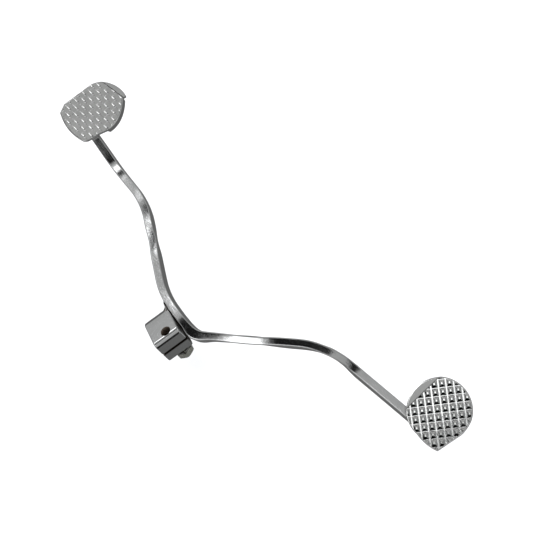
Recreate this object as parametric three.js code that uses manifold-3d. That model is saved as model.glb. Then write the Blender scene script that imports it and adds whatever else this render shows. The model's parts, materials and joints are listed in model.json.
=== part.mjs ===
// Heel-and-toe gear shift lever: a flat bar on edge, bent both ways, with a split clamp boss near its
// middle and a knurled tread pad at each end. Millimetres, +X forward (toe), +Y outward, +Z up.
// The origin is on the axis of the splined bore, where the boss meets the bar.

import * as THREE from "three";
import { mergeVertices } from "three/addons/utils/BufferGeometryUtils.js";
import Module from "manifold-3d";

const wasm = await Module();
wasm.setup();

const degrees = THREE.MathUtils.degToRad;

// ---------------------------------------------------------------- driving dimensions
const GAP = 0.3; // clearance between pieces that touch

const BAR = { thickness: 4.8, height: 12, corner: 1.2, stepLength: 3.2 };

const BOSS = {
  length: 17.5, radius: 10.5, tilt: degrees(30), chamfer: 0.7,
  top: 10, bottom: -8.5, front: 15.6, topRound: 4, bottomRound: 2.6, slot: 1.9,
};
const BORE = { rootRadius: 6.5, tipRadius: 6, teeth: 26 };
const BOLT = {
  along: 10.2, depth: 7.3, shank: 2.8, length: 16, flats: 10, head: 4, tipChamfer: 0.7,
  holeRadius: 3.1, spotFace: 6.1, seatGap: 0.2,
};
const WASHER = { inner: 3.15, width: 2.1, thick: 1.5, corner: 0.25, split: degrees(13) };

const PLATE = { thick: 2, inset: 0.94, skirtWall: 0.91 };
const KNURL = { height: 1.1, land: 0.5, floor: 0.55, reach: 30 };

// Tread pads: at is the middle of the tread, and hinge is the line that its pressed lip turns down about.
const TOE_PAD = {
  at: [134.3, 96.1], hinge: [[-14.7, 11.1], [-11.1, -13.4]], lipDrop: degrees(21),
  grid: { turn: degrees(28.3), pitch: [4.51, 4.17], from: [-1.4, 0.1] },
  skirt: 2.4, skirtFrom: [-11.5, 3], weldFrom: [131, 82.27],
};
const HEEL_PAD = {
  at: [-129, 32.7], hinge: [[4.4, 19.5], [-9.7, 15.2]], lipDrop: degrees(24),
  grid: { turn: degrees(34.1), pitch: [4.36, 4.71], from: [-1.46, 0.47] },
  skirt: 3.2, skirtFrom: [4, 0.5], weldFrom: [-118, 24.17],
};

const PAD_WELD = { leg: 1.9, length: 9.5 };
const BOSS_WELD = { onBar: 4.2, onBoss: 3.2, from: degrees(202), to: degrees(137) };

// Corner points of the bar's centreline, from the heel end to the toe end. Each has the length of straight
// bar that its bend takes up on either side, and how far the bar's top edge leans outward there.
const PAD_LEVEL = 21;
const BAR_Y = GAP + BAR.thickness / 2;
const BAR_CORNERS = [
  { point: [-131, 24, PAD_LEVEL], bend: 0, lean: degrees(3) },
  { point: [-92, 24.5, PAD_LEVEL], bend: 6, lean: degrees(3) },
  { point: [-68.5, 25.5, 11.5], bend: 11, lean: degrees(6) },
  { point: [-18, BAR_Y, 3], bend: 9, lean: degrees(2) },
  { point: [0, BAR_Y, 1], bend: 6, lean: 0 },
  { point: [14.2, 4.6, 2], bend: 6, lean: 0 },
  { point: [68, 66.2, 14.5], bend: 17, lean: degrees(-4) },
  { point: [89, 71.2, PAD_LEVEL], bend: 6, lean: degrees(8) },
  { point: [141, 84.9, PAD_LEVEL], bend: 0, lean: degrees(8) },
];
const TREAD_UNDERSIDE = PAD_LEVEL + BAR.height / 2 + GAP;

// ---------------------------------------------------------------- materials
const chrome = new THREE.MeshStandardMaterial({ color: 0xc9cccf, roughness: 0.12, metalness: 1 });
const treadChrome = new THREE.MeshStandardMaterial({ color: 0xbfc2c4, roughness: 0.2, metalness: 1 });
const weldChrome = new THREE.MeshStandardMaterial({ color: 0xa9aaab, roughness: 0.35, metalness: 1 });
const zinc = new THREE.MeshStandardMaterial({ color: 0x9aa096, roughness: 0.38, metalness: 1 });
const springSteel = new THREE.MeshStandardMaterial({ color: 0x7d8080, roughness: 0.42, metalness: 1 });

// ---------------------------------------------------------------- solids
function toSolid(geometry) {
  const bare = geometry.index ? geometry.toNonIndexed() : geometry.clone();
  bare.deleteAttribute("normal");
  bare.deleteAttribute("uv");
  const merged = mergeVertices(bare, 1e-4);
  return new wasm.Manifold(new wasm.Mesh({
    numProp: 3,
    vertProperties: new Float32Array(merged.attributes.position.array),
    triVerts: new Uint32Array(merged.index.array),
  }));
}

function toGeometry(solid) {
  const mesh = solid.getMesh();
  const geometry = new THREE.BufferGeometry();
  geometry.setAttribute("position", new THREE.BufferAttribute(mesh.vertProperties, 3));
  geometry.setIndex(new THREE.BufferAttribute(mesh.triVerts, 1));
  geometry.computeVertexNormals();
  return geometry;
}

function prism(shape, from, to, curveSegments = 12) {
  const geometry = new THREE.ExtrudeGeometry(shape, { depth: to - from, bevelEnabled: false, curveSegments });
  geometry.translate(0, 0, from);
  return geometry;
}

// A section drawn in XY, swept so that its X and Y follow the frame's right and up at each step.
function sweep(section, steps, frameAt, curveSegments = 1) {
  const geometry = new THREE.ExtrudeGeometry(section, { depth: 1, steps, bevelEnabled: false, curveSegments });
  const position = geometry.attributes.position;
  for (let i = 0; i < position.count; i += 1) {
    const frame = frameAt(position.getZ(i));
    const point = frame.origin.clone()
      .addScaledVector(frame.right, position.getX(i))
      .addScaledVector(frame.up, position.getY(i));
    position.setXYZ(i, point.x, point.y, point.z);
  }
  geometry.computeVertexNormals();
  return geometry;
}

function polygon(points) {
  return new THREE.Shape(points.map(([x, y]) => new THREE.Vector2(x, y)));
}

function lathe(profile, segments) {
  return new THREE.LatheGeometry(profile.map(([x, y]) => new THREE.Vector2(x, y)), segments);
}

function roundedRectangle(width, height, radius) {
  const [x, y] = [width / 2 - radius, height / 2 - radius];
  const shape = new THREE.Shape();
  shape.absarc(x, y, radius, 0, Math.PI / 2);
  shape.absarc(-x, y, radius, Math.PI / 2, Math.PI);
  shape.absarc(-x, -y, radius, Math.PI, 1.5 * Math.PI);
  shape.absarc(x, -y, radius, 1.5 * Math.PI, 2 * Math.PI);
  return shape;
}

// A hollow fillet between two faces that meet at the origin, along +X and +Y.
function filletSection(alongX, alongY) {
  const shape = new THREE.Shape();
  shape.moveTo(0, 0);
  shape.lineTo(alongX, 0);
  shape.quadraticCurveTo(alongX * 0.42, alongY * 0.42, 0, alongY);
  return shape;
}

// ---------------------------------------------------------------- bar
function barPath() {
  const path = new THREE.CurvePath();
  const points = BAR_CORNERS.map(({ point }) => new THREE.Vector3(...point));
  let start = points[0];
  for (let i = 1; i < points.length - 1; i += 1) {
    const { bend } = BAR_CORNERS[i];
    const bendStart = points[i - 1].clone().sub(points[i]).setLength(bend).add(points[i]);
    const bendEnd = points[i + 1].clone().sub(points[i]).setLength(bend).add(points[i]);
    path.add(new THREE.LineCurve3(start, bendStart));
    path.add(new THREE.QuadraticBezierCurve3(bendStart, points[i], bendEnd));
    start = bendEnd;
  }
  path.add(new THREE.LineCurve3(start, points.at(-1)));
  return path;
}

// The bar's lean at a share t of its length, even between one corner and the next.
function leanAlong(path) {
  const ends = path.getCurveLengths();
  const stations = BAR_CORNERS.map((_, i) => {
    if (i === 0) return 0;
    if (i === BAR_CORNERS.length - 1) return 1;
    return (ends[2 * i - 2] + ends[2 * i - 1]) / 2 / ends.at(-1);
  });
  return (t) => {
    const next = Math.max(1, stations.findIndex((station) => station >= t));
    const share = (t - stations[next - 1]) / (stations[next] - stations[next - 1]);
    return THREE.MathUtils.lerp(BAR_CORNERS[next - 1].lean, BAR_CORNERS[next].lean, share);
  };
}

// The bar, or with room around it, the space that other pieces leave for it.
function leverBar(room = 0) {
  const path = barPath();
  const lean = leanAlong(path);
  const steps = Math.round(path.getLength() / BAR.stepLength);
  const vertical = new THREE.Vector3(0, 0, 1);
  const section = roundedRectangle(BAR.thickness + 2 * room, BAR.height + 2 * room, BAR.corner);
  return sweep(section, steps, (t) => {
    const tangent = path.getTangentAt(t);
    const up = vertical.clone().addScaledVector(tangent, -tangent.z).normalize();
    up.applyAxisAngle(tangent, -lean(t));
    return { origin: path.getPointAt(t), right: up.clone().cross(tangent), up };
  });
}

// ---------------------------------------------------------------- clamp boss
// The boss is drawn in its own axes: X points out through the clamp's ears, Y out of its tapped flat,
// and Z runs from the bar towards the engine.
function bossOutline() {
  const { radius, top, bottom, front, topRound, bottomRound } = BOSS;
  const shape = new THREE.Shape();
  shape.moveTo(Math.sqrt(radius ** 2 - bottom ** 2), bottom);
  shape.absarc(front - bottomRound, bottom + bottomRound, bottomRound, -Math.PI / 2, 0);
  shape.absarc(front - topRound, top - topRound, topRound, 0, Math.PI / 2);
  shape.absarc(0, 0, radius, Math.PI - Math.asin(top / radius), 2 * Math.PI + Math.asin(bottom / radius));
  return shape;
}

function boreOutline() {
  return polygon(Array.from({ length: 2 * BORE.teeth }, (_, i) => {
    const radius = i % 2 ? BORE.tipRadius : BORE.rootRadius;
    const angle = (Math.PI * i) / BORE.teeth;
    return [radius * Math.cos(angle), radius * Math.sin(angle)];
  }));
}

function clampBoss() {
  const { length, chamfer, front, slot } = BOSS;
  const body = new THREE.ExtrudeGeometry(bossOutline(), {
    depth: length - 2 * chamfer, curveSegments: 20, bevelEnabled: true,
    bevelSize: chamfer, bevelOffset: -chamfer, bevelThickness: chamfer, bevelSegments: 2,
  });
  body.translate(0, 0, chamfer);
  const bore = prism(boreOutline(), -1, length + 1);
  const sawCut = new THREE.BoxGeometry(front + 2, slot, length + 2);
  sawCut.translate((front + 2) / 2, 0, length / 2);
  const boltHole = new THREE.CylinderGeometry(BOLT.holeRadius, BOLT.holeRadius, 40, 28);
  boltHole.translate(BOLT.along, 0, BOLT.depth);
  const spotFace = new THREE.CylinderGeometry(BOLT.spotFace, BOLT.spotFace, 8, 28);
  spotFace.translate(BOLT.along, BOSS.bottom - 4, BOLT.depth);
  const cuts = [bore, sawCut, boltHole, spotFace].map(toSolid);
  return toGeometry(cuts.reduce((rest, cut) => rest.subtract(cut), toSolid(body)));
}

// ---------------------------------------------------------------- pinch bolt and washer
const SEAT = BOSS.bottom - BOLT.seatGap;
const BEARING_FACE = SEAT - WASHER.thick - BOLT.seatGap;

// The bolt stands on Y, with its head's bearing face at zero and its shank above.
function pinchBolt() {
  const { shank, length, flats, head, tipChamfer } = BOLT;
  const corner = flats / 2 / Math.cos(Math.PI / 6);
  const hexagon = new THREE.CylinderGeometry(corner, corner, head, 6);
  hexagon.translate(0, -head / 2, 0);
  const chamferCone = lathe([
    [0, -head], [flats / 2 - 0.2, -head], [corner + 0.2, -head + 0.6], [corner + 0.2, 0], [0, 0],
  ], 36);
  const stem = lathe([
    [0, -head / 2], [shank, -head / 2], [shank, length - tipChamfer], [shank - tipChamfer, length], [0, length],
  ], 24);
  return toGeometry(toSolid(hexagon).intersect(toSolid(chamferCone)).add(toSolid(stem)));
}

function springWasher() {
  const { inner, width, thick, corner, split } = WASHER;
  return sweep(roundedRectangle(width, thick, corner), 30, (t) => {
    const angle = split / 2 + t * (2 * Math.PI - split);
    const right = new THREE.Vector3(-Math.cos(angle), 0, -Math.sin(angle));
    const origin = right.clone().multiplyScalar(-inner - width / 2);
    return { origin, right, up: new THREE.Vector3(0, -1, 0) };
  });
}

// ---------------------------------------------------------------- tread pads
function toeOutline() {
  const shape = new THREE.Shape();
  shape.moveTo(16.9, -13.3);
  shape.lineTo(17.25, 2.4);
  shape.quadraticCurveTo(16.3, 7.2, 14.2, 10.9);
  shape.absarc(-0.6, 0.6, 18.04, degrees(35), degrees(282.6));
  shape.quadraticCurveTo(10.7, -17, 16.9, -13.3);
  return shape;
}

function heelOutline() {
  const shape = new THREE.Shape();
  shape.moveTo(11.5, -15.3);
  shape.quadraticCurveTo(13.6, -13.6, 13.7, -10.9);
  shape.lineTo(14.1, -5.5);
  shape.lineTo(15.6, 0.7);
  shape.quadraticCurveTo(16.3, 11.6, 4.6, 19.6);
  shape.absarc(2.2, 4.4, 17.65, degrees(82), degrees(167));
  shape.lineTo(-15.2, -12);
  shape.lineTo(-12.2, -17.2);
  shape.quadraticCurveTo(0.5, -20.9, 11.5, -15.3);
  return shape;
}

// Everything on the inner side of the hinge line, or beyond it.
function besideHinge([start, end], inner) {
  const along = new THREE.Vector2(end[0] - start[0], end[1] - start[1]).normalize();
  const across = new THREE.Vector2(-along.y, along.x).multiplyScalar(inner ? 60 : -60);
  const from = new THREE.Vector2(...start).addScaledVector(along, -40);
  const to = new THREE.Vector2(...end).addScaledVector(along, 40);
  const corners = [from, to, to.clone().add(across), from.clone().add(across)];
  return toSolid(prism(new THREE.Shape(inner ? corners : corners.reverse()), -20, 20));
}

// Two crossed sets of grooves that leave a pyramid's tip at grid.from.
function knurlGrooves({ turn, pitch, from }) {
  const { height, land, floor, reach } = KNURL;
  const grooves = [];
  for (const [k, spacing] of pitch.entries()) {
    const [top, bottom] = [(spacing - land) / 2, floor / 2];
    const groove = polygon([[-bottom, 0], [bottom, 0], [top, height + 0.01], [-top, height + 0.01]]);
    const count = Math.ceil(reach / spacing);
    for (let i = -count; i <= count; i += 1) {
      const cut = prism(groove, -reach, reach);
      cut.rotateX(Math.PI / 2);
      cut.translate((i + 0.5) * spacing, 0, PLATE.thick);
      cut.rotateZ(k * Math.PI / 2 - turn);
      cut.translate(...from, 0);
      grooves.push(toSolid(cut));
    }
  }
  return grooves;
}

// Drawn about the middle of the tread, from the underside of its plate up.
function treadPad(outline, { at, hinge, lipDrop, grid, skirt, skirtFrom }) {
  const inside = besideHinge(hinge, true);
  const plate = toSolid(prism(outline, 0, PLATE.thick)).intersect(inside);

  const tread = prism(outline, PLATE.thick - 0.5, PLATE.thick + KNURL.height);
  tread.scale(PLATE.inset, PLATE.inset, 1);
  const knurled = knurlGrooves(grid)
    .reduce((rest, cut) => rest.subtract(cut), toSolid(tread).intersect(inside));

  const lip = toGeometry(toSolid(prism(outline, 0, PLATE.thick)).subtract(inside));
  const [start, end] = hinge.map(([x, y]) => new THREE.Vector3(x, y, PLATE.thick));
  lip.translate(-start.x, -start.y, -start.z);
  lip.applyMatrix4(new THREE.Matrix4().makeRotationAxis(end.sub(start).normalize(), lipDrop));
  lip.translate(start.x, start.y, start.z);

  const outerWall = prism(outline, -skirt, 1);
  const hollow = prism(outline, -skirt - 1, 2);
  hollow.scale(PLATE.skirtWall, PLATE.skirtWall, 1);
  const wallRegion = new THREE.BoxGeometry(60, 60, 60);
  wallRegion.translate(skirtFrom[0] + 30, skirtFrom[1] + 30, 0);
  const wall = toSolid(outerWall).subtract(toSolid(hollow)).intersect(toSolid(wallRegion)).intersect(inside);

  const barRoom = leverBar(GAP - 0.01);
  barRoom.translate(-at[0], -at[1], -TREAD_UNDERSIDE);
  return toGeometry(plate.add(knurled).add(toSolid(lip)).add(wall).subtract(toSolid(barRoom)));
}

// ---------------------------------------------------------------- weld beads
// A bead along one side of the bar, in the corner under a tread plate, where the bar's top leans outward.
function padWeld(start, end, side, lean) {
  const direction = end.clone().sub(start).normalize();
  const outward = new THREE.Vector3(-direction.y, direction.x, 0);
  const beside = side * (BAR.thickness / 2 / Math.cos(lean) + GAP) + (BAR.height / 2) * Math.tan(lean);
  const [from, to] = side > 0 ? [end, start] : [start, end];
  return sweep(filletSection(PAD_WELD.leg, PAD_WELD.leg), 3, (t) => ({
    origin: from.clone().lerp(to, t).addScaledVector(outward, beside),
    right: outward.clone().multiplyScalar(side),
    up: new THREE.Vector3(0, 0, -Math.cos(lean)).addScaledVector(outward, -Math.sin(lean)),
  }), 4);
}

// The bead that joins the back of the boss to the bar's inner face.
function bossWeld() {
  const { onBar, onBoss, from, to } = BOSS_WELD;
  return sweep(filletSection(onBar, onBoss), 14, (t) => {
    const angle = THREE.MathUtils.lerp(from, to, t);
    const right = new THREE.Vector3(Math.cos(angle), 0, Math.sin(angle));
    const origin = right.clone().multiplyScalar(BOSS.radius + GAP);
    return { origin, right, up: new THREE.Vector3(0, -1, 0) };
  }, 4);
}

// ---------------------------------------------------------------- assembly
const group = new THREE.Group();

function addPiece(parent, name, geometry, material) {
  const mesh = new THREE.Mesh(geometry, material);
  mesh.name = name;
  parent.add(mesh);
  return mesh;
}

addPiece(group, "lever_bar", leverBar(), chrome);

const clamp = new THREE.Group();
clamp.quaternion.setFromRotationMatrix(new THREE.Matrix4().makeBasis(
  new THREE.Vector3(Math.cos(BOSS.tilt), 0, Math.sin(BOSS.tilt)),
  new THREE.Vector3(-Math.sin(BOSS.tilt), 0, Math.cos(BOSS.tilt)),
  new THREE.Vector3(0, -1, 0),
));
group.add(clamp);
addPiece(clamp, "clamp_boss", clampBoss(), chrome);
const washer = addPiece(clamp, "spring_washer", springWasher(), springSteel);
washer.position.set(BOLT.along, SEAT - WASHER.thick / 2, BOLT.depth);
const bolt = addPiece(clamp, "pinch_bolt", pinchBolt(), zinc);
bolt.position.set(BOLT.along, BEARING_FACE, BOLT.depth);
addPiece(group, "boss_weld", bossWeld(), weldChrome);

const pads = [
  { name: "toe", outline: toeOutline(), pad: TOE_PAD, barEnd: BAR_CORNERS.at(-1) },
  { name: "heel", outline: heelOutline(), pad: HEEL_PAD, barEnd: BAR_CORNERS[0] },
];
for (const { name, outline, pad, barEnd } of pads) {
  const tread = addPiece(group, `${name}_pad`, treadPad(outline, pad), treadChrome);
  tread.position.set(...pad.at, TREAD_UNDERSIDE);
  const underPlate = TREAD_UNDERSIDE - GAP;
  const start = new THREE.Vector3(...pad.weldFrom, underPlate);
  const end = new THREE.Vector3(barEnd.point[0], barEnd.point[1], underPlate);
  end.sub(start).setLength(PAD_WELD.length).add(start);
  const outwardLean = Math.sign(end.x - start.x) * barEnd.lean;
  for (const [sideName, side] of [["left", 1], ["right", -1]]) {
    addPiece(group, `${name}_weld_${sideName}`, padWeld(start, end, side, outwardLean), weldChrome);
  }
}

export default group;
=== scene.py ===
"""Heel-and-toe gear shift lever: its looks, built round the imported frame.

Metres, in the frame's axes: +X forward to the toe pad, +Y outward along the bore, +Z up out of the treads.
The lever's pieces ride on body "lever", the spring washer on "washer" and the pinch bolt on "bolt".
"""

import json
import math

import bmesh
import bpy
from mathutils import Matrix, Vector, noise


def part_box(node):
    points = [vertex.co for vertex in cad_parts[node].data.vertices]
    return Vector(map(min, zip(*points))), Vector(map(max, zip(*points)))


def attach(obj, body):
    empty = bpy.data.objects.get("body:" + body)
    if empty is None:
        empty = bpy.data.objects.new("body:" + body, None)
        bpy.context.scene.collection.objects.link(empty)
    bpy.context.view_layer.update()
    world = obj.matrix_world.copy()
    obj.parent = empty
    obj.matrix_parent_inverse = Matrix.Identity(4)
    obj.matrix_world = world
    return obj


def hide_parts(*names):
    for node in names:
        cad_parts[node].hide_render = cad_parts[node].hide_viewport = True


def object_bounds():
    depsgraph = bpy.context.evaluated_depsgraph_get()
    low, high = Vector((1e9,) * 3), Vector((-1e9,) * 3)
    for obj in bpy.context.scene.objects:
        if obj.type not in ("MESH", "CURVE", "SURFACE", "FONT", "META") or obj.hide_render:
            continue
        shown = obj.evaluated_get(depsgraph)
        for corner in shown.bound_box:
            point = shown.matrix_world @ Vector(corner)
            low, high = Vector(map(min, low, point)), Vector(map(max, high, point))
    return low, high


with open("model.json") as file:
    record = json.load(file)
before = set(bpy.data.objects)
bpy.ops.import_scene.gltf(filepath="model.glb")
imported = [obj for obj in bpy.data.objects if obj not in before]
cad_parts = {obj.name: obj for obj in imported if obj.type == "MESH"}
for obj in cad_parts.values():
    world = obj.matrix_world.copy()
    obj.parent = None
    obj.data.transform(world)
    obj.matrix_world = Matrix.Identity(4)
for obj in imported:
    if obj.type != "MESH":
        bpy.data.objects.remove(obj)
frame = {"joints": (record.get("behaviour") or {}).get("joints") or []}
cad_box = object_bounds()

MM = 0.001
UP = Vector((0, 0, 1))
OUTWARD = Vector((0, 1, 0))

# ---------------------------------------------------------------- camera
# The camera leans forward and outward from straight above the bore, and looks past it to the middle.
CAMERA = {
    "forward_lean": math.radians(14), "outward_lean": math.radians(4), "distance": 0.7,
    "turn": math.atan2(0.59, 0.81), "lens": 78.73, "aim_right": 0.0530, "aim_up": 0.0329,
}


def add_camera():
    lean, out = CAMERA["forward_lean"], CAMERA["outward_lean"]
    back = Vector((math.sin(lean) * math.cos(out), math.sin(out), math.cos(lean) * math.cos(out)))
    across = (OUTWARD - back * OUTWARD.dot(back)).normalized()
    along = across.cross(back)
    right = across * math.cos(CAMERA["turn"]) + along * math.sin(CAMERA["turn"])
    up = back.cross(right)
    data = bpy.data.cameras.new("camera")
    data.lens = CAMERA["lens"]
    camera = bpy.data.objects.new("camera", data)
    bpy.context.scene.collection.objects.link(camera)
    place = back * CAMERA["distance"] + right * CAMERA["aim_right"] + up * CAMERA["aim_up"]
    camera.matrix_world = Matrix.Translation(place) @ Matrix((right, up, back)).transposed().to_4x4()
    bpy.context.scene.camera = camera


add_camera()

# ---------------------------------------------------------------- sizes, as in the frame
BAR = {
    "thickness": 4.8 * MM, "height": 12 * MM, "corner": 0.7 * MM, "step": 0.8 * MM, "section_step": 1.1 * MM,
    "bend_steps": 16, "end_rings": 2, "end_taper": 0.07, "end_taper_height": 0.4,
}
# How high the bar's centreline lies under the treads, and how far out at the boss, in millimetres.
PAD_LEVEL = 21
BAR_Y = 2.7
# Corner points of the bar's centreline in millimetres, the straight bar that each bend takes up on either
# side, and how far the bar's top leans outward there in degrees.
BAR_CORNERS = [
    ((-131, 24, PAD_LEVEL), 0, 3),
    ((-92, 24.5, PAD_LEVEL), 6, 3),
    ((-68.5, 25.5, 11.5), 11, 6),
    ((-18, BAR_Y, 3), 9, 2),
    ((0, BAR_Y, 1), 6, 0),
    ((14.2, 4.6, 2), 6, 0),
    ((68, 66.2, 14.5), 17, -4),
    ((89, 71.2, PAD_LEVEL), 6, 8),
    ((141, 84.9, PAD_LEVEL), 0, 8),
]

# Where the bar is twisted a little further, in millimetres along +X: middle, reach and degrees.
BAR_TWISTS = [(-47, 9, 6), (36, 15, -5), (56, 19, 6)]
# Where forging has spread the bar at its sharpest bend: middle, reach, and how much on each side.
BAR_SWELL = (13.5, 9, 1.6, 0.4)
# How uneven forging left its faces: waves to the metre, and their height in millimetres.
BAR_WAVES = ((70, 0.06), (190, 0.018))

BOSS = {
    "length": 17.5 * MM, "radius": 10.5 * MM, "top": 10 * MM, "bottom": -8.5 * MM, "front": 15.6 * MM,
    "top_round": 3.2 * MM, "bottom_round": 2.6 * MM, "slot": 1.9 * MM, "slot_from": 1 * MM,
    "chamfer": 0.7 * MM, "chamfer_steps": 4, "face_ring": 0.25 * MM, "cut_edge": 0.16 * MM,
}
BORE = {"root": 6.5 * MM, "tip": 6 * MM, "teeth": 26}
# One tooth of the spline: shares of its pitch, and which of the two radii it has there.
BORE_TOOTH = ((0, "tip"), (0.2, "tip"), (0.45, "root"), (0.75, "root"))
# The thread's radii and pitch, and how finely it is modelled: rings to a turn and points to a ring.
THREAD = {"major": 2.95 * MM, "minor": 2.45 * MM, "pitch": 1 * MM, "rings": 8, "segments": 32}
# The radius of the clear hole below the slot, then the spot face's radii at its floor and at its depth.
CLEAR_HOLE = 3.25 * MM
SPOT_FACE = {"inner": 6.1 * MM, "outer": 6.2 * MM, "depth": 4 * MM}
BOLT = {"length": 16 * MM, "flats": 10 * MM, "head": 4 * MM, "collar": 4.6 * MM, "edge": 0.3 * MM}
WASHER = {
    "inner": 3.15 * MM, "width": 2.1 * MM, "thick": 1.5 * MM, "split": math.radians(13), "spring": 0.22 * MM,
    "spring_room": 0.25 * MM, "corner": 0.3 * MM, "steps": 96,
}
# The clearance on either side of the washer.
SEAT_GAP = 0.2 * MM

PLATE = {
    "thick": 2 * MM, "edge": 0.55 * MM, "wall": 1.5 * MM, "bend": 1.6 * MM, "inset": 0.96,
    "skirt_run": 0.6 * MM, "inner_edge": (0.1 * MM, 0.3 * MM), "outline_step": 0.35 * MM,
    "rings": 30, "top_step": 0.55 * MM, "under_step": 0.53 * MM, "middle": 0.02,
}
# The knurl's height, how deep its block is sunk into the plate, how many pitches it reaches to each side of
# its middle, and where its mesh has lines, as shares of the way from a tip to its valley.
KNURL = {
    "height": 1.1 * MM, "sunk": 0.5 * MM, "reach": 6, "lines": (0, 0.08, 0.16, 0.24, 0.36, 0.52, 0.74, 1),
}
# Half the length, the depth and half the height of a block that trims a knurl.
TRIM = {"half_length": 0.06, "depth": 0.09, "height": 0.01}

# The two treads, seen from above with their middle at the origin.
# hinge: two points in millimetres on the line where the lip bends down, and drop: how far it bends.
# turn, pitch, tip: the knurl's direction, its spacing along and across, and the place of one tip.
# skirt: how deep the edge is turned down where x and y are past skirt_from.
# floors: the share of a pitch that is flat valley, along and across.
# tip_flat: the share of a pyramid's height that is worn off.
# tip_round: the share of its half width over which the tip is rounded.
# dome: the share of its half width over which its section is round and not square.
# sharp: the angle in degrees above which an edge is shaded sharp.
TOE = {
    "hinge": ((-14.7, 11.1), (-11.1, -13.4)), "drop": math.radians(21),
    "turn": math.radians(28.3), "pitch": (4.51 * MM, 4.17 * MM), "tip": (-1.4 * MM, 0.1 * MM),
    "skirt": 2.4 * MM, "skirt_from": (-11.5, 3),
    "floors": (0.07, 0.17), "tip_flat": 0.24, "tip_round": 0, "dome": 0.02, "sharp": 20,
}
HEEL = {
    "hinge": ((4.4, 19.5), (-9.7, 15.2)), "drop": math.radians(24),
    "turn": math.radians(34.1), "pitch": (4.36 * MM, 4.71 * MM), "tip": (-1.54 * MM, 0.9 * MM),
    "skirt": 3.2 * MM, "skirt_from": (4, 0.5),
    "floors": (0, 0), "tip_flat": 0, "tip_round": 0.5, "dome": 0.8, "sharp": 42,
}

# The welds.
# root: how far a bead reaches behind its corner. ripple, ripple_depth: its ripples' spacing and share.
# waves, waves_to_metre: its unevenness. end_rings: how many rings its ends take to run out.
# belly: how full its section is at the middle. hollow: how far a hollow bead's section dips.
BEAD = {
    "root": 0.36 * MM, "ripple": 1.3 * MM, "ripple_depth": 0.09, "waves": 0.05, "waves_to_metre": 400,
    "section_steps": 8, "end_rings": 4, "belly": 0.78, "hollow": 0.75,
}
BOSS_BEAD = {"start": 202, "sweep": 65, "steps": 60, "clear": 0.1 * MM, "legs": (4.6 * MM, 3.4 * MM)}
PAD_BEAD = {"leg": 2.1 * MM, "steps": 24, "short": 0.3 * MM}


# ---------------------------------------------------------------- mesh helpers
def mesh_object(name, bm):
    """A linked object from a bmesh, with its faces turned outward."""
    bmesh.ops.recalc_face_normals(bm, faces=bm.faces)
    data = bpy.data.meshes.new(name)
    bm.to_mesh(data)
    bm.free()
    piece = bpy.data.objects.new(name, data)
    bpy.context.scene.collection.objects.link(piece)
    return piece


def loft(name, rings):
    """A closed skin through rings of points, capped at both ends."""
    bm = bmesh.new()
    rows = [[bm.verts.new(point) for point in ring] for ring in rings]
    for low, high in zip(rows, rows[1:]):
        for i in range(len(low)):
            j = (i + 1) % len(low)
            bm.faces.new((low[i], low[j], high[j], high[i]))
    bm.faces.new(rows[0])
    bm.faces.new(rows[-1])
    return mesh_object(name, bm)


def apply_modifiers(piece):
    """Makes what the modifiers show the piece's own mesh."""
    evaluated = piece.evaluated_get(bpy.context.evaluated_depsgraph_get())
    data = bpy.data.meshes.new_from_object(evaluated)
    piece.modifiers.clear()
    piece.data = data


def combine(piece, other, operation):
    """Cuts, joins or intersects piece with other, which is used up."""
    modifier = piece.modifiers.new(operation, "BOOLEAN")
    modifier.operation = operation
    modifier.solver = "EXACT"
    modifier.object = other
    apply_modifiers(piece)
    bpy.data.objects.remove(other)


def soften_edges(piece, width, angle=35, segments=2):
    modifier = piece.modifiers.new("edges", "BEVEL")
    modifier.width = width
    modifier.segments = segments
    modifier.limit_method = "ANGLE"
    modifier.angle_limit = math.radians(angle)
    apply_modifiers(piece)


def finish_piece(piece, body, slot_name, material, *nodes, sharp=38):
    """Shades the piece smooth but for sharp edges, and ties it to its body and CAD nodes; its slot name is
    not used.
    """
    piece.data.materials.clear()
    piece.data.materials.append(material)
    piece.data.shade_smooth()
    piece.data.set_sharp_from_angle(angle=math.radians(sharp))
    normals = piece.modifiers.new("flat_faces_stay_flat", "WEIGHTED_NORMAL")
    normals.keep_sharp = True
    normals.weight = 90
    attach(piece, body)
    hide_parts(*nodes)


def arc(centre, radius, start, end, count):
    """Points on an arc in a plane, from start to end in degrees."""
    angles = [math.radians(start + (end - start) * i / count) for i in range(count + 1)]
    return [(centre[0] + radius * math.cos(a), centre[1] + radius * math.sin(a)) for a in angles]


def curve(start, control, end, count):
    """Points on a quadratic curve in a plane, past its start."""
    points = []
    for i in range(1, count + 1):
        t = i / count
        weights = ((1 - t) ** 2, 2 * t * (1 - t), t * t)
        points.append(tuple(sum(w * p[k] for w, p in zip(weights, (start, control, end))) for k in range(2)))
    return points


def spaced(points, gap):
    """A closed outline with points added along its longer sides, about gap apart."""
    out = []
    for a, b in zip(points, points[1:] + points[:1]):
        length = math.dist(a, b)
        count = max(1, round(length / gap))
        if length < 1e-6:
            continue
        out += [tuple(a[k] + (b[k] - a[k]) * i / count for k in range(2)) for i in range(count)]
    return out


def rounded_rectangle(width, height, radius, steps=6):
    x, y = width / 2 - radius, height / 2 - radius
    corners = [((x, y), 0), ((-x, y), 90), ((-x, -y), 180), ((x, -y), 270)]
    return [point for centre, start in corners for point in arc(centre, radius, start, start + 90, steps)]


# ---------------------------------------------------------------- materials
def node(tree, kind, inputs=None, **settings):
    made = tree.nodes.new(kind)
    for key, value in settings.items():
        setattr(made, key, value)
    for key, value in (inputs or {}).items():
        if isinstance(value, bpy.types.NodeSocket):
            tree.links.new(value, made.inputs[key])
        else:
            made.inputs[key].default_value = value
    return made


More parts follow.
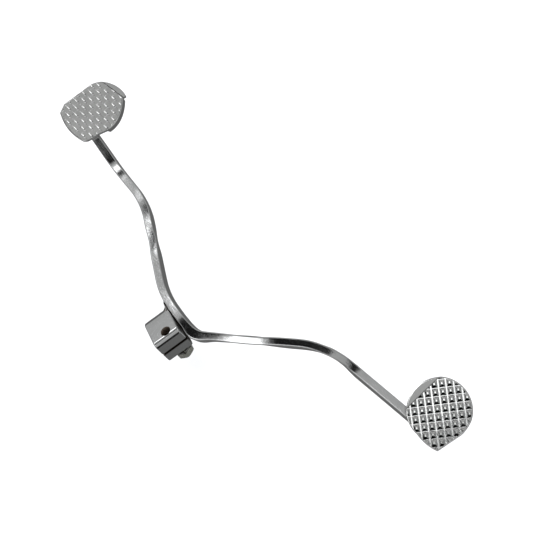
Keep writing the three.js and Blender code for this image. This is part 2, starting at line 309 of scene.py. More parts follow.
def ramp(tree, value, *stops):
    """A ramp from grey to grey; each stop is a position and a level."""
    made = node(tree, "ShaderNodeValToRGB", {"Fac": value})
    elements = made.color_ramp.elements
    while len(elements) < len(stops):
        elements.new(1)
    for element, (position, level) in zip(elements, stops):
        element.position = position
        element.color = (level, level, level, 1)
    return made.outputs["Color"]


def mixed(tree, share, a, b):
    """The colour a with a share of b. The numbers are the node's share and colour sockets."""
    return node(tree, "ShaderNodeMix", {0: share, 6: a, 7: b}, data_type="RGBA").outputs[2]


def math_node(tree, operation, a, b):
    return node(tree, "ShaderNodeMath", {0: a, 1: b}, operation=operation).outputs[0]


def scratches(tree, coordinates, turn, length_scale, width_scale, amount):
    """Fine straight scratches along one direction, as a height."""
    placed = node(tree, "ShaderNodeMapping", {
        "Vector": coordinates, "Rotation": turn, "Scale": (length_scale, width_scale, width_scale),
    })
    grain = node(tree, "ShaderNodeTexNoise", {
        "Vector": placed.outputs[0], "Scale": 1.0, "Detail": 2.0, "Roughness": 0.5,
    })
    return ramp(tree, grain.outputs["Fac"], (0.5 - amount, 0.0), (0.5, 1.0), (0.5 + amount, 1.0))


def metal(name, bright, dull, crevice_shade, gloss, peel=0.25, shade_reach=0.0025):
    """Plated metal: bright and dull are its colours in patches, the colour after them tints the shade painted
    into its crevices, gloss is its lowest and highest roughness, peel its waviness and the last argument how
    far the painted crevice shade spreads in metres."""
    material = bpy.data.materials.new(name)
    material.use_nodes = True
    tree = material.node_tree
    shader = tree.nodes["Principled BSDF"]
    shader.inputs["Metallic"].default_value = 1.0
    coordinates = node(tree, "ShaderNodeTexCoord").outputs["Object"]

    patches = node(tree, "ShaderNodeTexNoise", {
        "Vector": coordinates, "Scale": 55.0, "Detail": 5.0, "Roughness": 0.6,
    }).outputs["Fac"]
    specks = node(tree, "ShaderNodeTexNoise", {
        "Vector": coordinates, "Scale": 900.0, "Detail": 4.0, "Roughness": 0.65,
    }).outputs["Fac"]
    # Painted shade: ambient occlusion darkens the colour towards the crevice tint in crevices and hollows,
    # and roughens it there.
    crevice = node(tree, "ShaderNodeAmbientOcclusion", {"Distance": shade_reach}, samples=8).outputs["AO"]
    crevice_shade_mask = ramp(tree, crevice, (0.25, 1.0), (0.8, 0.0))
    edges = node(tree, "ShaderNodeNewGeometry").outputs["Pointiness"]
    worn = ramp(tree, edges, (0.52, 0.0), (0.6, 0.5))

    plated = mixed(tree, ramp(tree, patches, (0.35, 0.0), (0.65, 1.0)), (*bright, 1), (*dull, 1))
    spotted = mixed(tree, ramp(tree, specks, (0.62, 0.0), (0.72, 0.45)), plated, (*dull, 1))
    rubbed = mixed(tree, worn, spotted, (*bright, 1))
    # The painted crevice shade, blotched by the specks, goes over the worn plating.
    crevice_shaded = mixed(tree, math_node(tree, "MULTIPLY", crevice_shade_mask, ramp(tree, specks, (0.3, 0.5), (0.7, 1.0))),
                    rubbed, (*crevice_shade, 1))
    tree.links.new(crevice_shaded, shader.inputs["Base Color"])

    low, high = gloss
    sheen = ramp(tree, patches, (0.3, low), (0.7, high))
    fogged = math_node(tree, "ADD", sheen, ramp(tree, specks, (0.55, 0.0), (0.8, high * 0.8)))
    rough = math_node(tree, "ADD", fogged, math_node(tree, "MULTIPLY", crevice_shade_mask, 0.25))
    tree.links.new(rough, shader.inputs["Roughness"])

    marks = math_node(tree, "MULTIPLY",
                      scratches(tree, coordinates, (0.2, 0.5, 0.7), 60, 2600, 0.2),
                      scratches(tree, coordinates, (0.9, 0.1, -0.6), 45, 2200, 0.17))
    peel_height = node(tree, "ShaderNodeTexNoise", {
        "Vector": coordinates, "Scale": 260.0, "Detail": 1.5, "Roughness": 0.4,
    }).outputs["Fac"]
    fine = node(tree, "ShaderNodeBump", {"Strength": 0.10, "Distance": 0.00008, "Height": marks})
    soft = node(tree, "ShaderNodeBump", {
        "Strength": peel, "Distance": 0.00012, "Height": peel_height, "Normal": fine.outputs[0],
    })
    tree.links.new(soft.outputs[0], shader.inputs["Normal"])
    return material


# The third colour of each metal tints the shade painted into its crevices.
chrome = metal("bar_chrome", (0.82, 0.83, 0.84), (0.7, 0.71, 0.72), (0.13, 0.1, 0.08), (0.05, 0.12))
boss_chrome = metal("boss_chrome", (0.8, 0.81, 0.82), (0.66, 0.67, 0.68), (0.1, 0.07, 0.055), (0.07, 0.16))
tread_chrome = metal("tread_chrome", (0.8, 0.81, 0.81), (0.7, 0.71, 0.71), (0.12, 0.1, 0.09), (0.05, 0.12),
                     shade_reach=0.0003)
bare_steel = metal("bare_steel", (0.2, 0.16, 0.13), (0.1, 0.075, 0.06), (0.02, 0.014, 0.01), (0.35, 0.55),
                   peel=0.6, shade_reach=0.005)
weld_chrome = metal("weld_chrome", (0.74, 0.73, 0.72), (0.56, 0.54, 0.51), (0.1, 0.07, 0.05), (0.12, 0.24),
                    peel=0.5)
zinc = metal("zinc_plate", (1.0, 1.0, 0.93), (0.86, 0.89, 0.8), (0.16, 0.13, 0.09), (0.2, 0.32),
             shade_reach=0.0006)
spring_steel = metal("spring_steel", (0.46, 0.47, 0.46), (0.3, 0.3, 0.29), (0.07, 0.05, 0.04), (0.3, 0.45))


# ---------------------------------------------------------------- bar
def bar_stations():
    """Centreline points and leans, close together, with each corner rounded by a quadratic curve."""
    corners = [Vector(point) * MM for point, _, _ in BAR_CORNERS]
    points, leans = [corners[0]], [BAR_CORNERS[0][2]]
    steps = BAR["bend_steps"]
    for i in range(1, len(corners) - 1):
        _, bend, lean = BAR_CORNERS[i]
        start = corners[i] + (corners[i - 1] - corners[i]).normalized() * bend * MM
        end = corners[i] + (corners[i + 1] - corners[i]).normalized() * bend * MM
        for k in range(steps + 1):
            t = k / steps
            points.append(start * (1 - t) ** 2 + corners[i] * 2 * t * (1 - t) + end * t * t)
            leans.append(lean if k == steps // 2 else None)
    points.append(corners[-1])
    leans.append(BAR_CORNERS[-1][2])
    return points, leans


def along_path(points, values, step):
    """The path and its values again, at even steps; a missing value lies between its neighbours'."""
    travelled = [0.0]
    for a, b in zip(points, points[1:]):
        travelled.append(travelled[-1] + (b - a).length)
    known = [(s, v) for s, v in zip(travelled, values) if v is not None]
    count = round(travelled[-1] / step)
    out, i, k = [], 0, 0
    for n in range(count + 1):
        s = min(travelled[-1] * n / count, travelled[-1] - 1e-9)
        while travelled[i + 1] <= s:
            i += 1
        while known[k + 1][0] <= s:
            k += 1
        t = (s - travelled[i]) / (travelled[i + 1] - travelled[i])
        (s0, v0), (s1, v1) = known[k], known[k + 1]
        out.append((points[i].lerp(points[i + 1], t), v0 + (v1 - v0) * (s - s0) / (s1 - s0)))
    return out


def bump(x, middle, reach):
    """A smooth hump, 1 at the middle and 0 beyond its reach."""
    share = min(1.0, abs(x - middle) / reach)
    return (1 + math.cos(math.pi * share)) / 2


def make_bar():
    section = spaced(rounded_rectangle(BAR["thickness"], BAR["height"], BAR["corner"]), BAR["section_step"])
    slenderness = BAR["height"] / BAR["thickness"]
    stations = along_path(*bar_stations(), BAR["step"])
    rings = []
    for i, (origin, lean) in enumerate(stations):
        before = stations[max(i - 1, 0)][0]
        after = stations[min(i + 1, len(stations) - 1)][0]
        tangent = (after - before).normalized()
        up = (UP - tangent * tangent.z).normalized()
        lean += sum(degrees * bump(origin.x / MM, middle, reach) for middle, reach, degrees in BAR_TWISTS)
        up.rotate(Matrix.Rotation(-math.radians(lean), 3, tangent))
        right = up.cross(tangent)
        from_end = min(i, len(stations) - 1 - i)
        shrink = 1 - BAR["end_taper"] * (max(0, BAR["end_rings"] - from_end) ** 2)
        shrink_height = 1 - (1 - shrink) * BAR["end_taper_height"]
        swell = bump(origin.x / MM, *BAR_SWELL[:2])
        ring = []
        for x, y in section:
            side = swell * (BAR_SWELL[2] if x < 0 else BAR_SWELL[3]) * MM / (BAR["thickness"] / 2)
            point = origin + right * x * (shrink + side) + up * y * shrink_height
            wave = sum(noise.noise(point * to_metre) * height for to_metre, height in BAR_WAVES)
            ring.append(point + (right * x * slenderness + up * y).normalized() * wave * MM)
        rings.append(ring)
    finish_piece(loft("bar", rings), "lever", "bar_chrome", chrome, "lever_bar", sharp=50)


# ---------------------------------------------------------------- clamp boss, bolt and washer
# The clamp's own axes: EARS out through its ears, TAPPED up the tapped hole and INWARD along the bore. The
# bolt's place along two of them comes from its joint.
turn_joint = next(j for j in frame["joints"] if j["name"] == "pinch_bolt_turn")
BOLT_POINT = Vector(turn_joint["pos_m"])
BOLT_DOWN = Vector(turn_joint["axis"])
INWARD = -OUTWARD
TAPPED = -BOLT_DOWN
EARS = TAPPED.cross(INWARD)
BOLT_ALONG = BOLT_POINT.dot(EARS)
BOLT_DEPTH = BOLT_POINT.dot(INWARD)


def clamp_point(ears, tapped, inward):
    """A point from its distances along the ears, up the tapped hole and inward along the bore."""
    return EARS * ears + TAPPED * tapped + INWARD * inward


def boss_outline():
    """The boss seen along its bore: a round back and two ears with rounded ends."""
    radius, top, bottom, front = (BOSS[k] for k in ("radius", "top", "bottom", "front"))
    low, high = BOSS["bottom_round"], BOSS["top_round"]
    back_start = 180 - math.degrees(math.asin(top / radius))
    back_end = 360 + math.degrees(math.asin(bottom / radius))
    points = arc((front - low, bottom + low), low, -90, 0, 12)
    points += arc((front - high, top - high), high, 0, 90, 16)
    points += arc((0, 0), radius, back_start, back_end, 56)
    return points


def inset(points, distance):
    """A closed outline moved inward, along the normal at each point."""
    out = []
    for i, point in enumerate(points):
        a, b = points[i - 1], points[(i + 1) % len(points)]
        length = math.dist(a, b)
        x = point[0] - (b[1] - a[1]) / length * distance
        y = point[1] + (b[0] - a[0]) / length * distance
        out.append((x, y))
    return out


def prism(name, outline, from_depth, to_depth):
    return loft(name, [[clamp_point(x, y, d) for x, y in outline] for d in (from_depth, to_depth)])


def turned(name, profile, segments=64):
    """A solid turned about the bolt's axis: each profile point is a radius and a height."""
    rings = []
    for radius, height in profile:
        rings.append([
            clamp_point(BOLT_ALONG + radius * math.cos(a), height, BOLT_DEPTH + radius * math.sin(a))
            for a in (2 * math.pi * i / segments for i in range(segments))
        ])
    return loft(name, rings)


def make_boss():
    outline = boss_outline()
    length, chamfer, face_ring, steps = (BOSS[k] for k in ("length", "chamfer", "face_ring", "chamfer_steps"))
    angles = [math.pi / 2 * i / steps for i in range(steps + 1)]
    edge = [(chamfer * (1 - math.sin(a)), chamfer * (1 - math.cos(a))) for a in angles]
    levels = edge + [(0, chamfer + face_ring), (0, length - chamfer - face_ring)]
    levels += [(e, length - d) for e, d in reversed(edge)]
    rings = [[clamp_point(x, y, d) for x, y in inset(outline, e)] for e, d in levels]
    boss = loft("boss", rings)

    teeth = BORE["teeth"]
    spline = []
    for i in range(teeth):
        for share, radius in BORE_TOOTH:
            angle = 2 * math.pi * (i + share) / teeth
            spline.append((BORE[radius] * math.cos(angle), BORE[radius] * math.sin(angle)))
    combine(boss, prism("bore", spline, -MM, length + MM), "DIFFERENCE")
    # The bore's mouth as radii and depths below the end face.
    mouth = [
        (BORE["tip"] - 0.5 * MM, 1.0 * MM), (BORE["root"] + 0.5 * MM, -0.02 * MM),
        (BORE["root"] + MM, -0.5 * MM),
    ]
    countersink = []
    for radius, depth in mouth:
        countersink.append([clamp_point(radius * math.cos(a), radius * math.sin(a), length - depth)
                            for a in (math.radians(degrees) for degrees in range(0, 360, 4))])
    combine(boss, loft("countersink", countersink), "DIFFERENCE")

    back, front, half = BOSS["slot_from"], BOSS["front"] + 2 * MM, BOSS["slot"] / 2
    cut = [(back, -half), (front, -half), (front, half), (back, half)]
    combine(boss, prism("saw_cut", cut, -MM, length + MM), "DIFFERENCE")

    top, bottom = BOSS["top"], BOSS["bottom"]
    # The tapped hole and the spot face as radii and heights, with a groove at every pitch down to the slot.
    tapped = [(THREAD["major"] + 0.55 * MM, top + 0.3 * MM), (THREAD["major"] + 0.25 * MM, top)]
    height = top - 0.3 * MM
    while height > half:
        tapped += [(THREAD["major"], height), (THREAD["minor"] + 0.15 * MM, height - THREAD["pitch"] / 2)]
        height -= THREAD["pitch"]
    tapped += [(CLEAR_HOLE, half), (CLEAR_HOLE, bottom - MM)]
    combine(boss, turned("tapped_hole", tapped), "DIFFERENCE")
    spot = [(SPOT_FACE["inner"], bottom), (SPOT_FACE["outer"], bottom - SPOT_FACE["depth"])]
    combine(boss, turned("spot_face", spot), "DIFFERENCE")
    soften_edges(boss, BOSS["cut_edge"], angle=50)
    finish_piece(boss, "lever", "boss_chrome", boss_chrome, "clamp_boss", sharp=12)
    boss.data.materials.append(bare_steel)
    for face in boss.data.polygons:
        if is_unplated(face):
            face.material_index = 1


def is_unplated(face):
    """Whether a face of the boss lies in a hole, the bore or the saw cut, where no plating got in."""
    ears, tapped, inward = (face.center.dot(axis) for axis in (EARS, TAPPED, INWARD))
    in_hole = math.hypot(ears - BOLT_ALONG, inward - BOLT_DEPTH) < CLEAR_HOLE + 0.1 * MM
    in_hole = in_hole and abs(face.normal.dot(TAPPED)) < 0.95
    in_bore = math.hypot(ears, tapped) < BORE["root"] + 0.1 * MM
    in_bore = in_bore and 0.1 * MM < inward < BOSS["length"] - 0.3 * MM
    in_slot = ears > 0 and abs(tapped) < BOSS["slot"] / 2 + 0.02 * MM
    return in_hole or in_bore or in_slot


def seat_levels():
    """The heights of the washer's seat and of the underside of the bolt's head."""
    seat = BOSS["bottom"] - SEAT_GAP
    return seat, seat - WASHER["thick"] - SEAT_GAP


def make_bolt():
    _, bearing = seat_levels()
    corner = BOLT["flats"] / 2 / math.cos(math.pi / 6)
    head_end = bearing - BOLT["head"]
    corners = [math.radians(a) for a in range(0, 360, 60)]
    hexagon = [(corner * math.cos(a), corner * math.sin(a)) for a in corners]
    rings = [[clamp_point(BOLT_ALONG + x, height, BOLT_DEPTH + y) for x, y in hexagon]
             for height in (head_end, bearing)]
    head = loft("bolt", rings)
    soften_edges(head, BOLT["edge"], segments=3)
    # The turned faces of the head as radii and heights: dished end, chamfered corners, bearing face.
    cone = [
        (0.2 * MM, head_end + 0.35 * MM), (3.4 * MM, head_end + 0.3 * MM), (3.9 * MM, head_end),
        (BOLT["collar"], head_end), (corner + 0.3 * MM, head_end + 0.75 * MM),
        (corner + 0.3 * MM, bearing - 0.35 * MM), (BOLT["flats"] / 2 - 0.25 * MM, bearing),
        (0.2 * MM, bearing),
    ]
    combine(head, turned("head_cone", cone, 96), "INTERSECT")

    tip = bearing + BOLT["length"]
    major, minor, segments = THREAD["major"], THREAD["minor"], THREAD["segments"]
    shank_end = bearing + 1.2 * MM
    rings = [[(major, height)] * segments for height in (bearing - MM, shank_end)]
    turns = (tip - 0.6 * MM - shank_end) / THREAD["pitch"]
    for i in range(1, int(turns * THREAD["rings"]) + 1):
        turn = i / THREAD["rings"]
        ring = []
        for k in range(segments):
            # A flat root, straight flanks and a flat crest.
            phase = (turn + k / segments) % 1
            crest = min(1.0, max(0.0, 2.6 * abs(phase - 0.5) - 0.15))
            ring.append((minor + (major - minor) * crest, shank_end + turn * THREAD["pitch"]))
        rings.append(ring)
    rings.append([(minor - 0.1 * MM, tip - 0.2 * MM)] * segments)
    rings.append([(minor - 0.5 * MM, tip)] * segments)
    angles = [2 * math.pi * k / segments for k in range(segments)]
    placed = []
    for ring in rings:
        placed.append([
            clamp_point(BOLT_ALONG + radius * math.cos(a), height, BOLT_DEPTH + radius * math.sin(a))
            for (radius, height), a in zip(ring, angles)
        ])
    combine(head, loft("stem", placed), "UNION")
    finish_piece(head, "bolt", "zinc_plate", zinc, "pinch_bolt", sharp=30)


def make_washer():
    seat, _ = seat_levels()
    section = rounded_rectangle(WASHER["width"], WASHER["thick"] - WASHER["spring_room"], WASHER["corner"], 4)
    middle = WASHER["inner"] + WASHER["width"] / 2
    start, span, steps = WASHER["split"] / 2, 2 * math.pi - WASHER["split"], WASHER["steps"]
    rings = []
    for i in range(steps + 1):
        angle = start + span * i / steps
        rise = (i / steps - 0.5) * WASHER["spring"]
        rings.append([
            clamp_point(BOLT_ALONG + (middle + x) * math.cos(angle), seat - WASHER["thick"] / 2 + rise + y,
                        BOLT_DEPTH + (middle + x) * math.sin(angle))
            for x, y in section
        ])
    finish_piece(loft("lock_washer", rings), "washer", "spring_steel", spring_steel, "spring_washer")


# ---------------------------------------------------------------- tread pads
def toe_outline():
    points = [(16.9, -13.3), (17.25, 2.4)]
    points += curve((17.25, 2.4), (16.3, 7.2), (14.2, 10.9), 8)
    points += arc((-0.6, 0.6), 18.04, 35, 282.6, 90)
    points += curve(points[-1], (10.7, -17), (16.9, -13.3), 10)[:-1]
    return spaced([(x * MM, y * MM) for x, y in points], PLATE["outline_step"])


def heel_outline():
    points = [(11.5, -15.3)]
    points += curve(points[-1], (13.6, -13.6), (13.7, -10.9), 6)
    points += [(14.1, -5.5), (15.6, 0.7)]
    points += curve(points[-1], (16.3, 11.6), (4.6, 19.6), 20)
    points += arc((2.2, 4.4), 17.65, 82, 167, 40)
    points += [(-15.2, -12), (-12.2, -17.2)]
    points += curve(points[-1], (0.5, -20.9), (11.5, -15.3), 20)[:-1]
    return spaced([(x * MM, y * MM) for x, y in points], PLATE["outline_step"])


def past_hinge(hinge, x, y):
    """How far a point lies beyond the hinge line, and the line's outward direction."""
    (x0, y0), (x1, y1) = ((px * MM, py * MM) for px, py in hinge)
    along = Vector((x1 - x0, y1 - y0)).normalized()
    out = Vector((along.y, -along.x))
    return (Vector((x, y)) - Vector((x0, y0))).dot(out), out


def bend_lip(pad, x, y, z):
    """A plate point once the lip has been pressed down past the hinge line."""
    distance, out = past_hinge(pad["hinge"], x, y)
    if distance <= 0:
        return Vector((x, y, z))
    radius, drop = PLATE["bend"], pad["drop"]
    angle = min(distance / radius, drop)
    rest = distance - angle * radius
    reach = radius * math.sin(angle) + rest * math.cos(angle)
    fall = radius * (1 - math.cos(angle)) + rest * math.sin(angle)
    below = z - PLATE["thick"]
    reach += math.sin(angle) * below
    height = PLATE["thick"] - fall + math.cos(angle) * below
    shift = reach - distance
    return Vector((x + out.x * shift, y + out.y * shift, height))


def skirt_depth(pad, x, y):
    """How deep the plate's edge is turned down at a point of its outline."""
    from_x, from_y = (v * MM for v in pad["skirt_from"])
    distance, _ = past_hinge(pad["hinge"], x, y)
    clear = min(x - from_x, y - from_y, -distance)
    return pad["skirt"] * min(1.0, max(0.0, clear / PLATE["skirt_run"]))


def pad_plate(name, pad, outline):
    """The plate without its knurl: rings from the middle of its top, round its edge and skirt, to the middle
    of its underside."""
    thick, edge, wall, count = (PLATE[k] for k in ("thick", "edge", "wall", "rings"))
    near, far = PLATE["inner_edge"]
    angles = [math.radians(d) for d in (90, 60, 30, 0)]
    quarter = [(edge * (1 - math.cos(a)), edge * (1 - math.sin(a))) for a in angles]
    rings = []

    def ring(offset, height):
        """Adds the outline moved inward by offset; height gives its level from the skirt's depth."""
        points = []
        for x, y in outline:
            share = max(PLATE["middle"], 1 - offset / math.hypot(x, y))
            points.append(bend_lip(pad, x * share, y * share, height(skirt_depth(pad, x, y))))
        rings.append(points)

    for i in range(count, -1, -1):
        ring(edge + PLATE["top_step"] * i, lambda _: thick)
    for e, down in quarter[1:]:
        ring(e, lambda _, d=down: thick - d)
    for e, down in reversed(quarter):
        ring(e, lambda s, d=down: d - s)
    ring(wall, lambda s: -s)
    ring(wall + near, lambda s: -max(0.0, s - far))
    ring(wall + far, lambda _: 0.0)
    for i in range(1, count + 1):
        ring(wall + far + PLATE["under_step"] * i, lambda _: 0.0)
    return loft(name, rings)


def pyramid(u, v, pad):
    """Height share of the knurl at u, v pitches from a tip: a square pyramid with a flat or round tip."""
    sides = [abs(w - round(w)) / (0.5 - floor / 2) for w, floor in zip((u, v), pad["floors"])]
    square = min(1.0, max(sides) / pad["dome"]) ** 2
    off = math.hypot(*sides) * (1 - square) + max(sides) * square
    rounding = pad["tip_round"]
    fall = (off * off + rounding * rounding) / (2 * rounding) if off < rounding else off
    return min(1.0, max(0.0, 1 - fall) / (1 - pad["tip_flat"]))


def knurl_lines(floor):
    """Where the mesh has lines across one direction of the knurl, in pitches from its middle tip."""
    reach = KNURL["reach"]
    stops = {share * (0.5 - floor / 2) for share in KNURL["lines"]}
    stops |= {1 - stop for stop in stops if stop}
    return [n + stop for n in range(-reach, reach) for stop in sorted(stops)] + [reach]


def tread_block(name, pad):
    """Crossed ridges of pyramids, as a closed block turned to the knurl's direction."""
    across, along = (knurl_lines(floor) for floor in pad["floors"])
    turned_by = Matrix.Rotation(-pad["turn"], 2)
    top, bottom = PLATE["thick"], PLATE["thick"] - KNURL["sunk"]
    bm = bmesh.new()
    rows = []
    for v in along:
        row = []
        for u in across:
            place = turned_by @ Vector((u * pad["pitch"][0], v * pad["pitch"][1])) + Vector(pad["tip"])
            row.append(bm.verts.new((*place, top + KNURL["height"] * pyramid(u, v, pad))))
        rows.append(row)
    for j, (low, high) in enumerate(zip(rows, rows[1:])):
        for i in range(len(low) - 1):
            quad = [low[i], low[i + 1], high[i + 1], high[i]]
            u, v = (across[i] + across[i + 1]) / 2, (along[j] + along[j + 1]) / 2
            # Each quad is split along the pyramid's ridge, so that the ridge stays straight.
            if (u - round(u)) * (v - round(v)) < 0:
                quad = quad[1:] + quad[:1]
            bm.faces.new(quad[:3])
            bm.faces.new((quad[0], quad[2], quad[3]))
    rim = rows[0][:-1] + [r[-1] for r in rows[:-1]] + rows[-1][:0:-1] + [r[0] for r in rows[:0:-1]]
    base = [bm.verts.new((v.co.x, v.co.y, bottom)) for v in rim]
    for i in range(len(rim)):
        j = (i + 1) % len(rim)
        bm.faces.new((rim[i], base[i], base[j], rim[j]))
    bm.faces.new(base)
    return mesh_object(name, bm)


def hinge_side(pad):
    """A block that covers everything on the tread's side of the hinge line."""
    _, out = past_hinge(pad["hinge"], 0, 0)
    start = Vector([v * MM for v in pad["hinge"][0]])
    side, back = Vector((-out.y, out.x)) * TRIM["half_length"], out * TRIM["depth"]
    corners = [start - side, start + side, start + side - back, start - side - back]
    return loft("tread_side", [[(c.x, c.y, z) for c in corners] for z in (-TRIM["height"], TRIM["height"])])


def make_pad(name, cad_node, pad, outline, at):
    plate = pad_plate(name, pad, outline)
    tread = tread_block("tread", pad)
    trimmed = [(x * PLATE["inset"], y * PLATE["inset"]) for x, y in outline]
    combine(tread, loft("trim", [[(x, y, z) for x, y in trimmed] for z in (0, TRIM["height"])]), "INTERSECT")
    combine(tread, hinge_side(pad), "INTERSECT")
    combine(plate, tread, "UNION")
    plate.data.transform(Matrix.Translation(at))
    finish_piece(plate, "lever", "tread_chrome", tread_chrome, cad_node, sharp=pad["sharp"])


def pad_place(cad_node, outline, from_low_y):
    """The middle of a tread, worked out from its node's box and its own outline's reach."""
    low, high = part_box(cad_node)
    x = high.x - max(p[0] for p in outline)
    y = low.y - min(p[1] for p in outline) if from_low_y else high.y - max(p[1] for p in outline)
    return Vector((x, y, high.z - PLATE["thick"] - KNURL["height"]))


# ---------------------------------------------------------------- welds
def bead(name, frames, leg_a, leg_b, cad_node, hollow=False):
    """A weld bead along frames of an origin and its two leg directions, with ripples across it."""
    travelled = 0.0
    steps, run_out, belly, dip = (BEAD[k] for k in ("section_steps", "end_rings", "belly", "hollow"))
    rings = []
    for i, (origin, toward_a, toward_b) in enumerate(frames):
        if i:
            travelled += (origin - frames[i - 1][0]).length
        ends = min(1.0, (i + 0.35) / run_out, (len(frames) - 0.65 - i) / run_out)
        full = math.sqrt(1 - (1 - ends) ** 2)
        wave = 1 - BEAD["ripple_depth"] * abs(math.cos(math.pi * travelled / BEAD["ripple"]))
        wave += BEAD["waves"] * noise.noise(origin * BEAD["waves_to_metre"])
        ring = [origin - (toward_a + toward_b) * BEAD["root"]]
        for k in range(steps + 1):
            angle = math.pi / 2 * k / steps
            reach_a, reach_b = math.cos(angle), math.sin(angle)
            if hollow:
                reach_a, reach_b = ((1 - dip) * reach_a + dip * (1 - reach_b),
                                    (1 - dip) * reach_b + dip * (1 - reach_a))
            bulge = full * wave * (belly + (1 - belly) * abs(math.cos(2 * angle)))
            ring.append(origin + toward_a * leg_a * reach_a * bulge + toward_b * leg_b * reach_b * bulge)
        rings.append(ring)
    finish_piece(loft(name, rings), "lever", "weld_chrome", weld_chrome, cad_node, sharp=60)


def make_boss_weld():
    """The web between the boss's round back and the bar."""
    frames = []
    for i in range(BOSS_BEAD["steps"] + 1):
        angle = math.radians(BOSS_BEAD["start"] - BOSS_BEAD["sweep"] * i / BOSS_BEAD["steps"])
        out = Vector((math.cos(angle), 0, math.sin(angle)))
        origin = out * (BOSS["radius"] + BOSS_BEAD["clear"]) + OUTWARD * BOSS_BEAD["clear"]
        frames.append((origin, out, INWARD))
    bead("boss_bead", frames, *BOSS_BEAD["legs"], "boss_weld", hollow=True)


def make_pad_weld(end, side, near, far, lean):
    """A bead under a tread, on one side of the bar's last straight from near to far, which leans by lean."""
    cad_node = f"{end}_weld_{side}"
    low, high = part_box(cad_node)
    direction = (far - near).normalized()
    outward = Vector((-direction.y, direction.x, 0))
    lean *= math.copysign(1, direction.x)
    sign = 1 if side == "left" else -1
    span = (high.x - low.x) / abs(direction.x) - PAD_BEAD["short"]
    centre = near + direction * ((low + high) / 2 - near).dot(direction)
    centre += outward * (sign * (BAR["thickness"] / 2) + BAR["height"] / 2 * math.tan(lean))
    centre.z = high.z
    down = -UP * math.cos(lean) - outward * math.sin(lean)
    steps, leg = PAD_BEAD["steps"], PAD_BEAD["leg"]
    frames = [(centre + direction * span * (t / steps - 0.5), outward * sign, down) for t in range(steps + 1)]
    bead(f"{end}_bead_{side}", frames, leg, leg, cad_node)


def make_pad_welds():
    for end, corners in (("toe", BAR_CORNERS[-2:]), ("heel", BAR_CORNERS[1::-1])):
        near, far = (Vector(corner[0]) * MM for corner in corners)
        for side in ("left", "right"):
            make_pad_weld(end, side, near, far, math.radians(corners[1][2]))


# ---------------------------------------------------------------- studio
# The direction in the frame that is the picture's right, in degrees from +X.
PICTURE_RIGHT = 54
CARD_DISTANCE = 2.0
# What the metal reflects. Each card's place is how far it lies right and up of the zenith in the picture,
# then its width and height, all in degrees, then its brightness and how far it is rolled.
CARDS = [
    ("valley_light", -1, 3.5, 14, 13, 1.8),
    ("heel_dark", -12.5, 19.5, 13, 13, 0.01),
    ("slash_dark", -8, 33, 30, 17, 0.01, 135),
    ("bend_dark", -26, 11, 28, 14, 0.01),
    ("arm_light", -27, -6, 16, 11, 1.9),
    ("round_light", -42, 42, 18, 9, 3.2, 131),
    ("spark_light", 10, -13, 14, 4, 1.1, 30),
    ("band_dark", 5, -4, 12, 10, 0.03),
    ("foot_dark", 12, -71, 50, 54, 0.003),
    ("left_dark", -72, -9, 30, 36, 0.04),
    ("right_grey", 66, 10, 30, 28, 0.22),
]
TENT = {"radius": 3.0, "brightness": 0.42}
FLOOR = {"half": 12.0, "below": 0.03, "grey": 0.93}
# A dark sheet just above the floor, seen only in reflections.
TABLE = {"half": 2.5, "above": 1 * MM, "brightness": 0.14}
KEY = {"size": (1.6, 1.2), "energy": 14, "toward": (-0.35, 0.25, 0.9), "distance": 1.8}
AMBIENT = 1.15


def sheet(name, half_width, half_height, level=0.0):
    """A flat rectangle about the origin."""
    bm = bmesh.new()
    corners = ((-1, -1), (1, -1), (1, 1), (-1, 1))
    bm.faces.new([bm.verts.new((x * half_width, y * half_height, level)) for x, y in corners])
    return mesh_object(name, bm)


def reflected(piece, paint):
    """Makes a piece that is seen only in reflections; paint makes its surface in a node tree."""
    material = bpy.data.materials.new(piece.name)
    material.use_nodes = True
    tree = material.node_tree
    tree.nodes.clear()
    node(tree, "ShaderNodeOutputMaterial", {"Surface": paint(tree)})
    piece.data.materials.append(material)
    piece.visible_camera = False
    piece.visible_diffuse = False
    piece.visible_shadow = False


def glow(piece, brightness):
    reflected(piece, lambda tree: node(tree, "ShaderNodeEmission", {
        "Color": (1, 1, 0.985, 1), "Strength": brightness,
    }).outputs[0])


def sky_toward(right, up):
    """The direction right and up of the zenith in degrees, as the picture's own right and up."""
    zenith = math.radians(math.hypot(right, up))
    azimuth = math.radians(PICTURE_RIGHT) + math.atan2(up, right)
    level = math.sin(zenith)
    return Vector((math.cos(azimuth) * level, math.sin(azimuth) * level, math.cos(zenith)))


def card(name, right, up, width, height, brightness, roll=0):
    """A soft-edged card in the reflected sky. Its place and size are in degrees."""
    toward = sky_toward(right, up)
    picture_right = sky_toward(90, 0)
    if toward.z > 0.5:
        across = (picture_right - toward * picture_right.dot(toward)).normalized()
    else:
        across = UP.cross(toward).normalized()
    across.rotate(Matrix.Rotation(math.radians(roll), 3, toward))
    upward = toward.cross(across)
    w, h = (CARD_DISTANCE * math.tan(math.radians(v / 2)) for v in (width, height))

    def paint(tree):
        scaled = node(tree, "ShaderNodeMapping", {
            "Vector": node(tree, "ShaderNodeTexCoord").outputs["Object"], "Scale": (1 / w, 1 / h, 1),
        })
        parts = node(tree, "ShaderNodeSeparateXYZ", {0: scaled.outputs[0]})
        sides = []
        for k in (0, 1):
            side = math_node(tree, "ABSOLUTE", parts.outputs[k], 0.0)
            sides.append(math_node(tree, "POWER", side, 4.0))
        cover = ramp(tree, math_node(tree, "ADD", *sides), (0.35, 1.0), (1.0, 0.0))
        light = node(tree, "ShaderNodeEmission", {"Color": (1, 1, 1, 1), "Strength": brightness})
        clear = node(tree, "ShaderNodeBsdfTransparent")
        both = {0: cover, 1: clear.outputs[0], 2: light.outputs[0]}
        return node(tree, "ShaderNodeMixShader", both).outputs[0]

    panel = sheet(name, w, h)
    axes = Matrix((across, upward, toward)).transposed().to_4x4()
    panel.matrix_world = Matrix.Translation(toward * CARD_DISTANCE) @ axes
    reflected(panel, paint)


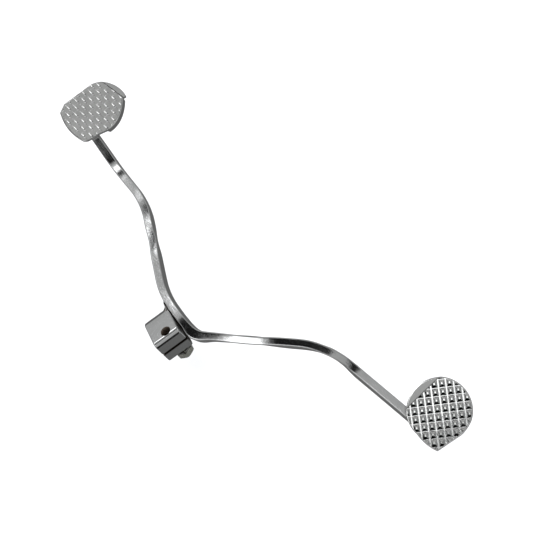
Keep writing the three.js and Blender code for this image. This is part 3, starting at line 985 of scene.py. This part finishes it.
def add_tent():
    """An even grey tent round the studio, seen only in reflections."""
    bm = bmesh.new()
    bmesh.ops.create_uvsphere(bm, u_segments=48, v_segments=24, radius=TENT["radius"])
    glow(mesh_object("tent", bm), TENT["brightness"])


def add_floor():
    """The white floor, and the dark table that the metal reflects instead."""
    low, _ = cad_box
    level = low.z - FLOOR["below"]
    glow(sheet("dark_table", TABLE["half"], TABLE["half"], level + TABLE["above"]), TABLE["brightness"])
    floor = sheet("floor", FLOOR["half"], FLOOR["half"], level)
    material = bpy.data.materials.new("floor")
    material.use_nodes = True
    shader = material.node_tree.nodes["Principled BSDF"]
    shader.inputs["Base Color"].default_value = (FLOOR["grey"], FLOOR["grey"], FLOOR["grey"], 1)
    shader.inputs["Roughness"].default_value = 0.9
    shader.inputs["Specular IOR Level"].default_value = 0.1
    floor.data.materials.append(material)


def add_world():
    world = bpy.data.worlds.new("studio")
    world.use_nodes = True
    background = world.node_tree.nodes["Background"]
    background.inputs["Color"].default_value = (0.97, 0.98, 1.0, 1)
    background.inputs["Strength"].default_value = AMBIENT
    bpy.context.scene.world = world
    bpy.context.scene.view_settings.view_transform = "Standard"


def add_key_light():
    """A broad light that shades the floor and isn't seen in the metal."""
    data = bpy.data.lights.new("key", "AREA")
    data.shape = "RECTANGLE"
    data.size, data.size_y = KEY["size"]
    data.energy = KEY["energy"]
    key = bpy.data.objects.new("key", data)
    bpy.context.scene.collection.objects.link(key)
    toward = Vector(KEY["toward"]).normalized()
    turn = toward.to_track_quat("Z", "Y").to_matrix().to_4x4()
    key.matrix_world = Matrix.Translation(toward * KEY["distance"]) @ turn
    key.visible_camera = False
    key.visible_glossy = False


# ---------------------------------------------------------------- the object
make_bar()
make_boss()
make_bolt()
make_washer()
make_boss_weld()
make_pad_welds()
toe_shape, heel_shape = toe_outline(), heel_outline()
make_pad("toe_tread", "toe_pad", TOE, toe_shape, pad_place("toe_pad", toe_shape, False))
make_pad("heel_tread", "heel_pad", HEEL, heel_shape, pad_place("heel_pad", heel_shape, True))

add_world()
add_floor()
add_key_light()
add_tent()
for row in CARDS:
    card(*row)
